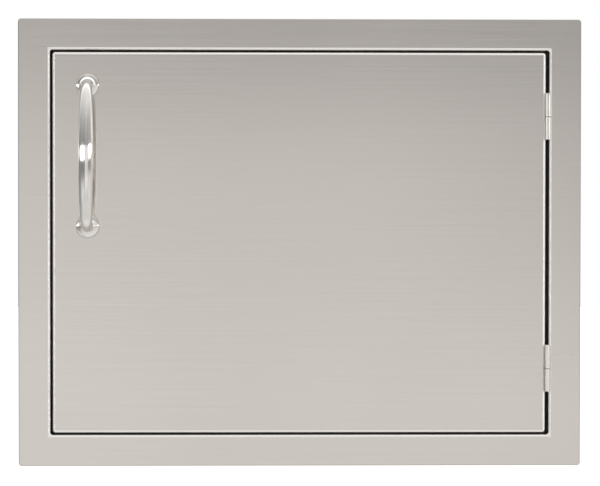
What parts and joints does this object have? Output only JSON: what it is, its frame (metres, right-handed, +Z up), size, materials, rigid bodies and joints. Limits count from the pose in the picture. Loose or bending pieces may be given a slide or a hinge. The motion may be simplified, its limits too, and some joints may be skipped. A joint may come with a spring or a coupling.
{
  "type": "barbecue island access door",
  "caption": "Flush stainless access door for a barbecue island: folded face frame, sleeve through the wall, double-skinned door on lift-off hinges, bow handle and magnetic catches.",
  "frame": {"origin": "centre of the opening, in the plane of the island's wall that the face frame's hem rests on", "axes": "+X to the right seen from in front, +Y into the island, +Z up"},
  "size_m": [0.584, 0.094, 0.464],
  "materials": {
    "brushed_door": "brushed sideways, satin with a soft mirror",
    "brushed_frame": "brushed along the long sides, satin",
    "bumper_rubber": "soft matt",
    "catch_plastic": "moulded matt",
    "ferrite": "sintered, matt",
    "hinge_steel": "fine satin",
    "liner_steel": "plain mill finish",
    "pin_steel": "ground",
    "plated_steel": "bright zinc plated",
    "plug_plastic": "moulded matt",
    "polished_handle": "mirror polished",
    "polished_rosette": "turned and polished",
    "sleeve_steel": "plain mill finish",
    "stiffener_steel": "plain mill finish",
    "stop_steel": "matt black paint"
  },
  "bodies": {
    "frame": {"catch_housing_lower": "catch_plastic", "catch_housing_upper": "catch_plastic", "catch_magnet_lower": "ferrite", "catch_magnet_upper": "ferrite", "catch_poles_lower": "plated_steel", "catch_poles_upper": "plated_steel", "face_frame": "brushed_frame", "frame_hinge_leaf_lower": "hinge_steel", "frame_hinge_leaf_upper": "hinge_steel", "hinge_pin_lower": "pin_steel", "hinge_pin_upper": "pin_steel", "jamb_bottom": "sleeve_steel", "jamb_left": "sleeve_steel", "jamb_right": "sleeve_steel", "jamb_top": "sleeve_steel", "stop_bottom": "stop_steel", "stop_bumpers": "bumper_rubber", "stop_left": "stop_steel", "stop_right": "stop_steel", "stop_top": "stop_steel"},
    "door": {"door_hinge_leaf_lower": "hinge_steel", "door_hinge_leaf_upper": "hinge_steel", "door_liner": "liner_steel", "door_outer_panel": "brushed_door", "door_stiffener_left": "stiffener_steel", "door_stiffener_right": "stiffener_steel", "handle_backing_plate": "plated_steel", "handle_grip": "polished_handle", "handle_rosettes": "polished_rosette", "handle_screws": "plated_steel", "liner_plugs": "plug_plastic", "strike_plate_lower": "plated_steel", "strike_plate_upper": "plated_steel"}
  },
  "joints": [
    {"name": "door_swing", "type": "hinge", "parent": "frame", "child": "door", "pos_m": [0.25725, -0.01513, 0], "axis": [0, 0, 1], "range_deg": [0, 170]}
  ]
}
